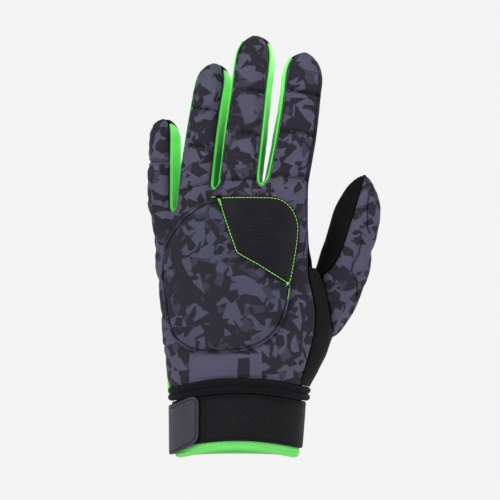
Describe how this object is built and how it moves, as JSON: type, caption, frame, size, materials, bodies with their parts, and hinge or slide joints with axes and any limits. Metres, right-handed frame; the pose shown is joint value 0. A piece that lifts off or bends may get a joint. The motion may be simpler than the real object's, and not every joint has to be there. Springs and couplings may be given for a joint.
{
  "type": "field hockey glove",
  "caption": "Padded full-finger field hockey glove for the left hand, with a printed back, green finger strips, a raised back pad and a strapped wrist cuff.",
  "frame": {"origin": "centre of the wrist opening, at the height of its two sides, where the wrist goes in", "axes": "+Z from the wrist to the fingertips, -Y out of the back of the hand, +X towards the thumb"},
  "size_m": [0.1334, 0.06, 0.2406],
  "materials": {
    "printed_fabric": "matte stretch fabric printed with grey shards on near black",
    "palm_leather": "matte black suede",
    "stretch_fabric": "matte black stretch fabric",
    "green_fabric": "bright green stretch fabric with a soft sheen",
    "patch_leather": "smooth satin black leather",
    "neoprene": "matte black knit-faced neoprene",
    "green_binding": "bright green binding",
    "ribbed_elastic": "black elastic webbing with fine diagonal ribs",
    "tab_leather": "satin dark grey leather"
  },
  "bodies": {
    "root": {"back_panel": "printed_fabric", "palm_panel": "palm_leather", "thumb_gusset": "stretch_fabric", "thumb_back": "printed_fabric", "thumb_palm": "palm_leather", "side_strip_little_ring": "green_fabric", "side_strip_ring_middle": "green_fabric", "side_strip_middle_index": "green_fabric", "back_pad": "printed_fabric", "knuckle_patch": "patch_leather", "cuff": "neoprene", "hem_binding": "green_binding", "wrist_roll_lower": "neoprene", "wrist_roll_upper": "neoprene", "wrist_strap": "ribbed_elastic", "strap_tab": "tab_leather", "pull_tab": "green_binding"}
  },
  "joints": []
}
